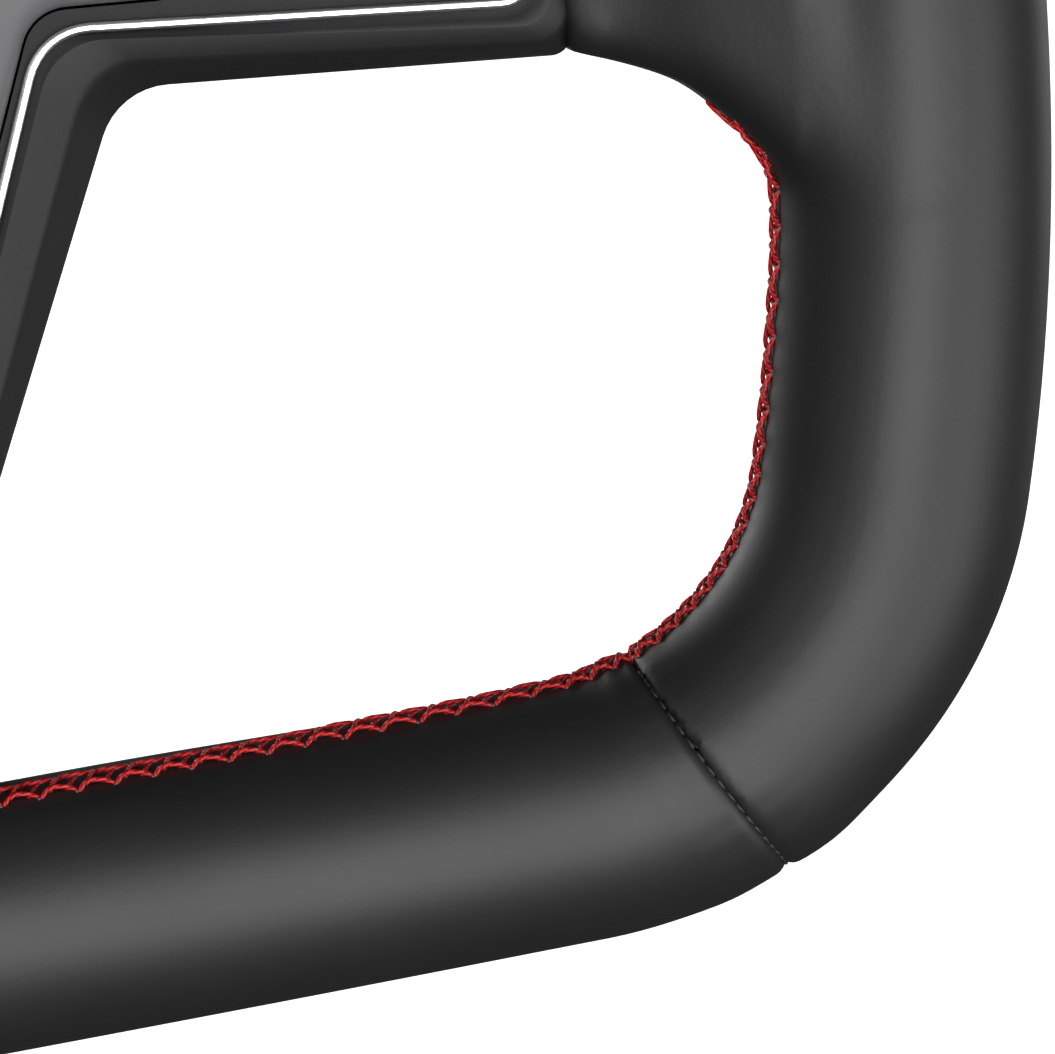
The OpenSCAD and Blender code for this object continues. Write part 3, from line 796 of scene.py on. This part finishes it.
moulded = finish_of("grained_black_plastic", (0.014, 0.014, 0.015), 0.46, Specular_IOR_Level=0.25)
add_grain(moulded, noise(moulded, 2600, 3.0, 0.7), 0.00005, 0.5)
vary(moulded, "Roughness", noise(moulded, 120), 0.44, 0.54)
bm = ring_loft([(between(a, b, t), h) for a, b, t, h in BEZEL_SECTION], True)
bezel = new_piece("bezel", bm, moulded, 50)
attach(bezel, "wheel")
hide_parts("front_bezel")


# ---- Chrome strip ----
# One closed strip of chromed plastic with a gently rounded front. It is pressed into the
# front edge of the bezel, and its foot reaches down beside the edge of the gloss panel.

chromed = finish_of("chrome_plating", (0.93, 0.93, 0.94), 0.3, 1.0)
vary(chromed, "Roughness", noise(chromed, 60, 2.0), 0.28, 0.33)
# The strip's section: distance outwards from its middle line, and height, in mm
STRIP_SECTION = [(0.65, 2.8), (0.65, 5.5), (0.60, 5.7), (0.50, 5.82), (0.3, 5.94), (0.0, 6.0),
                 (-0.3, 5.94), (-0.50, 5.82), (-0.60, 5.7), (-0.65, 5.5), (-0.65, 0.2), (0.2, 0.2)]
bm = ring_loft([(shifted(strip_line, d), h) for d, h in STRIP_SECTION], True)
strip = new_piece("chrome_strip", bm, chromed, 50)
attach(strip, "wheel")
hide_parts("chrome_trim")


# ---- Gloss panel ----
# A plate of piano-black plastic, moulded glossy. It fills the window inside the chrome strip
# and leaves the pad a fine gap all round.

piano_black = finish_of("piano_black", (0.004, 0.004, 0.0045), 0.2, Specular_IOR_Level=0.1)
vary(piano_black, "Roughness", noise(piano_black, 700, 3.0), 0.16, 0.26)
refinished("gloss_panel", piano_black)


# ---- Horn pad ----
# A soft-touch grey plastic moulding with a rounded edge. It stands on three springs and
# carries the moving contact plate on its back.

PAD_HALF = [(0, 44.5), (38.5, 41), (54, 21), (72, 19.5), (72, -18.5), (50.3, -16.6),
            (15.3, -93.4), (0, -93.4)]
# The rings from the back over the edge to the flat front: distance inwards and height, in mm
PAD_SECTION = [(2.6, 4.2), (0.0, 4.0), (-0.1, 5.2), (0.05, 6.2), (0.4, 7.2), (1.0, 8.0),
               (1.9, 8.55), (3.0, 8.85), (4.6, 9.0)]
soft_touch = finish_of("soft_touch_grey", (0.1, 0.098, 0.102), 0.5, Specular_IOR_Level=0.4)
add_grain(soft_touch, noise(soft_touch, 3000, 2.0), 0.00003, 0.35)
vary(soft_touch, "Roughness", noise(soft_touch, 90), 0.46, 0.56)
pad_outline = outline(PAD_HALF, 6, 6)
bm = ring_loft([(shifted(pad_outline, -d), h) for d, h in PAD_SECTION], False)
pad = new_piece("soft_pad", bm, soft_touch, 40)
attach(pad, "pad")
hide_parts("horn_pad")


# ---- Horn contacts and springs ----
# A brass ring on the front of the hub plate, a brass plate on the back of the pad, and three
# spring-steel coils between hub and pad. Pressing the pad closes the plate against the ring.

brass = finish_of("brass_sheet", (0.62, 0.42, 0.16), 0.3, 1.0)
vary(brass, "Roughness", noise(brass, 250), 0.22, 0.4)
spring_wire = finish_of("spring_wire", (0.42, 0.42, 0.43), 0.32, 1.0)
vary(spring_wire, "Roughness", noise(spring_wire, 900), 0.26, 0.42)
refinished("horn_contact_ring", brass)
refinished("horn_contact_plate", brass)


def coil_mesh(name, centre, radius, wire_r, start, end, turns, ends, material, steps=24):
    """A round-wire coil along Y from start to end, with closed and flattened end turns."""
    path = []
    total = int(turns * steps)
    for i in range(total + 1):
        t = i / total
        climb = max(0.0, min(1.0, (t * turns - ends) / (turns - 2 * ends)))
        a = 2 * math.pi * i / steps
        path.append((centre[0] + radius * math.cos(a), start + (end - start) * climb,
                     centre[1] + radius * math.sin(a)))
    return thread_mesh(name, [path], wire_r, material, 2)


HORN_WIRE_R, HORN_COIL_R, HORN_CIRCLE_R = 0.45 * MM, 3.55 * MM, 22 * MM
low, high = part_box("horn_springs")
for i, a in enumerate((30, 150, 270)):
    at = (HORN_CIRCLE_R * math.cos(math.radians(a)), HORN_CIRCLE_R * math.sin(math.radians(a)))
    spring = coil_mesh(f"horn_spring_{i + 1}", at, HORN_COIL_R, HORN_WIRE_R,
                       low.y + HORN_WIRE_R, high.y - HORN_WIRE_R, 6, 0.8, spring_wire)
    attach(spring, "wheel")
    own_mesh(spring)
    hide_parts("horn_springs")


# ---- Rear cover ----
# The matching half of the spoke cover, in the same grained plastic, with a round hole for
# the quick release and six plain holes for its screws.

def carried(node, name, material, bevel, body, angle=35):
    """A copy of a CAD node with its doubles merged, its edges eased and its flats kept flat."""
    bm = bmesh.new()
    bm.from_mesh(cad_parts[node].data)
    bm.transform(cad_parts[node].matrix_world)
    bmesh.ops.remove_doubles(bm, verts=bm.verts, dist=2e-6)
    bmesh.ops.dissolve_limit(bm, angle_limit=math.radians(1.0), verts=bm.verts, edges=bm.edges)
    bmesh.ops.recalc_face_normals(bm, faces=bm.faces)
    if bevel:
        sharp = [e for e in bm.edges if len(e.link_faces) == 2
                 and e.calc_face_angle(0) > math.radians(angle) and e.calc_length() > bevel * 1.5]
        bmesh.ops.bevel(bm, geom=sharp, offset=bevel, offset_type="OFFSET", segments=2,
                        affect="EDGES", profile=0.5, material=-1, clamp_overlap=True)
    piece = new_piece(name, bm, material, 28)
    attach(piece, body)
    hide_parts(node)
    return piece


carried("rear_cover", "cover_back", moulded, 0.4 * MM, "wheel")


# ---- Cover screws ----
# Six self-tapping screws of blackened steel, with low round heads. They go through the rear
# cover into bosses moulded in the bezel, and pull the two together round the armature's arms.

black_steel = finish_of("black_oxide_steel", (0.045, 0.045, 0.048), 0.38, 0.9)
vary(black_steel, "Roughness", noise(black_steel, 500), 0.3, 0.48)
carried("cover_screws", "cover_screw_set", black_steel, 0.12 * MM, "wheel")


# ---- Hub screws ----
# Six zinc-plated M5 socket-head screws on a 70 mm circle. They clamp the armature's hub plate
# to the flange of the release socket.

zinc = finish_of("zinc_plated_steel", (0.5, 0.5, 0.51), 0.35, 1.0)
vary(zinc, "Roughness", noise(zinc, 420), 0.26, 0.44)
carried("hub_screws", "hub_screw_set", zinc, 0.15 * MM, "wheel")


# ---- Quick release socket ----
# Turned and broached aluminium, anodised black. It slides over the splined spindle, and six
# radial holes in its barrel guide the locking balls.

def lathe_marks(material, low, high):
    """Fine rings round the steering axis, as the turning tool leaves them."""
    drawn_out = add_node(material, "ShaderNodeMapping",
                         [("Vector", part_coordinates(material)), ("Scale", (40.0, 3500.0, 40.0))])
    marks = noise(material, 1.0, 2.0, 0.5, drawn_out.outputs["Vector"])
    add_grain(material, marks, 0.00002, 0.35)
    vary(material, "Roughness", marks, low, high)


anodised = finish_of("black_anodised_aluminium", (0.03, 0.03, 0.032), 0.34, 0.85)
lathe_marks(anodised, 0.28, 0.42)
carried("qr_socket", "release_socket", anodised, 0.25 * MM, "wheel")


# ---- Circlip ----
# A snap ring stamped from spring steel. It sits in a groove at the end of the socket's barrel
# and stops the collar from sliding off.

carried("circlip", "snap_ring", spring_wire, 0.12 * MM, "wheel")


# ---- Collar spring ----
# A spring-steel wire wound round the barrel, with closed ends. It stands between the socket's
# flange and a step in the collar, and pushes the collar back over the balls.

COLLAR_WIRE_R, COLLAR_COIL_R = 0.6 * MM, 21.95 * MM
low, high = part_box("collar_spring")
collar_coil = coil_mesh("collar_coil", (0, 0), COLLAR_COIL_R, COLLAR_WIRE_R,
                        low.y + COLLAR_WIRE_R, high.y - COLLAR_WIRE_R, 5, 0.8, spring_wire, 48)
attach(collar_coil, "wheel")
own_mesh(collar_coil)
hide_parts("collar_spring")


# ---- Release collar ----
# A turned aluminium sleeve, anodised red, with a round groove for the fingers. Pulled towards
# the driver it lets the balls out of the spindle's groove, and a ramp inside drives them in.

red_anodised = finish_of("red_anodised_aluminium", (0.42, 0.012, 0.016), 0.26, 0.9)
lathe_marks(red_anodised, 0.2, 0.34)
carried("release_collar", "pull_collar", red_anodised, 0.35 * MM, "collar", 25)


# ---- Locking balls ----
# Six 6 mm balls of hardened and polished steel. Each sits half in a hole of the barrel and
# half in the spindle's groove, and the collar keeps it there.

BALL_R = 3 * MM
ball_steel = finish_of("hardened_ball_steel", (0.6, 0.6, 0.61), 0.08, 1.0)
vary(ball_steel, "Roughness", noise(ball_steel, 600), 0.05, 0.14)
for i in range(1, 7):
    low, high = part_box(f"lock_ball_{i}")
    bm = bmesh.new()
    bmesh.ops.create_uvsphere(bm, u_segments=32, v_segments=20, radius=BALL_R,
                              matrix=Matrix.Translation((low + high) / 2))
    ball = new_piece(f"steel_ball_{i}", bm, ball_steel)
    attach(ball, f"ball_{i}")
    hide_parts(f"lock_ball_{i}")


# ---- Splined spindle and its screws ----
# Hardened and ground steel with eight splines and a ball groove. Four countersunk M5 screws
# hold its flange on the hub adapter.

ground_steel = finish_of("ground_steel", (0.46, 0.46, 0.47), 0.28, 1.0)
vary(ground_steel, "Roughness", noise(ground_steel, 350), 0.2, 0.36)
carried("spline_spindle", "splined_nose", ground_steel, 0.25 * MM, "column")
carried("spindle_screws", "spindle_screw_set", zinc, 0.12 * MM, "column")


# ---- Hub adapter ----
# A steel flange and a boss welded to it. The boss slides over the column's shaft, and two
# M8 grub screws, a quarter turn apart, clamp it.

carried("hub_flange", "adapter_flange", black_steel, 0.4 * MM, "column")
carried("column_hub", "adapter_boss", black_steel, 0.4 * MM, "column")
carried("grub_screws", "grub_screw_set", zinc, 0.15 * MM, "column")


# ---- Floor, backdrop and light ----
# A pale floor, a white board behind, broad softboxes low in front and on the right, and
# weaker ones on the left and behind. Floor and far wall are seen, but light nothing.

PALE_GLOW, BOARD_GLOW, DIM_ROOM, WALL_SHADE = 0.55, 1.1, 0.045, 0.62


def stage_sheet(name, half_width, shade, glow):
    """A flat glowing sheet of the studio, which isn't part of the object."""
    paint = finish_of(name + "_paint", (shade, shade, shade), 0.9,
                      Emission_Color=(1, 1, 1, 1), Emission_Strength=glow)
    bm = bmesh.new()
    bmesh.ops.create_grid(bm, x_segments=1, y_segments=1, size=half_width)
    sheet = new_piece(name, bm, paint)
    return sheet


floor = stage_sheet("studio_floor", 12, 0.7, PALE_GLOW)
floor.location.z = -2.8
floor.visible_diffuse = floor.visible_glossy = False
board = stage_sheet("backdrop_board", 0.42, 0.9, BOARD_GLOW)
board.rotation_euler = (math.radians(90), 0, 0)
board.location = (0.33, 3.2, -0.38)

world = bpy.data.worlds.new("studio")
bpy.context.scene.world = world
world.use_nodes = True
nodes, links = world.node_tree.nodes, world.node_tree.links
dim = nodes["Background"]
dim.inputs["Color"].default_value = (1, 1, 1, 1)
dim.inputs["Strength"].default_value = DIM_ROOM
wall = nodes.new("ShaderNodeBackground")
wall.inputs["Color"].default_value = (WALL_SHADE, WALL_SHADE, WALL_SHADE, 1)
either = nodes.new("ShaderNodeMixShader")
links.new(nodes.new("ShaderNodeLightPath").outputs["Is Camera Ray"], either.inputs["Fac"])
links.new(dim.outputs["Background"], either.inputs[1])
links.new(wall.outputs["Background"], either.inputs[2])
links.new(either.outputs["Shader"], nodes["World Output"].inputs["Surface"])


def softbox(name, location, target, size, power):
    """A soft rectangular light of a size in metres and a power in watts."""
    light = bpy.data.lights.new(name, "AREA")
    light.shape = "RECTANGLE"
    light.size, light.size_y = size
    light.energy = power
    lamp = bpy.data.objects.new(name, light)
    lamp.location = location
    lamp.rotation_euler = (Vector(target) - Vector(location)).to_track_quat("-Z", "Y").to_euler()
    bpy.context.scene.collection.objects.link(lamp)


softbox("box_low", (0.1, -1.8, -0.38), (0.1, RIM_Y, 0.1), (1.0, 2.0), 39)
softbox("box_right", (1.35, -1.05, -0.65), (0.1, RIM_Y, -0.08), (1.2, 1.4), 17)
softbox("box_left", (-1.3, -1.2, 0.9), (0, RIM_Y, 0), (0.8, 0.8), 3)
softbox("box_rear", (-1.2, 1.9, 1.1), (0, 0, 0), (1.4, 1.4), 24)
softbox("box_rear_right", (1.6, 1.5, 0.3), (0, 0, 0), (0.8, 1.4), 8)


# ---- Camera ----
# A long lens a little to the left of the wheel and above it, looking at the lower right of
# the rim and turned about its own axis.

AZIMUTH, ELEVATION, ROLL, AWAY = math.radians(-4), math.radians(5), math.radians(10.2), 1.25
target = Vector((98.8 * MM, RIM_Y, -89.8 * MM))
back = Vector((math.sin(AZIMUTH) * math.cos(ELEVATION), -math.cos(AZIMUTH) * math.cos(ELEVATION),
               math.sin(ELEVATION)))
right = Vector((math.cos(AZIMUTH), math.sin(AZIMUTH), 0))
up = back.cross(right)
c, s = math.cos(ROLL), math.sin(ROLL)
turn = Matrix((right * c - up * s, right * s + up * c, back)).transposed().to_4x4()
turn.translation = target + back * AWAY
lens = bpy.data.cameras.new("camera")
lens.sensor_width = 36
lens.lens = 349
camera = bpy.data.objects.new("camera", lens)
camera.matrix_world = turn
bpy.context.scene.collection.objects.link(camera)
bpy.context.scene.camera = camera
bpy.context.scene.view_settings.view_transform = "Standard"
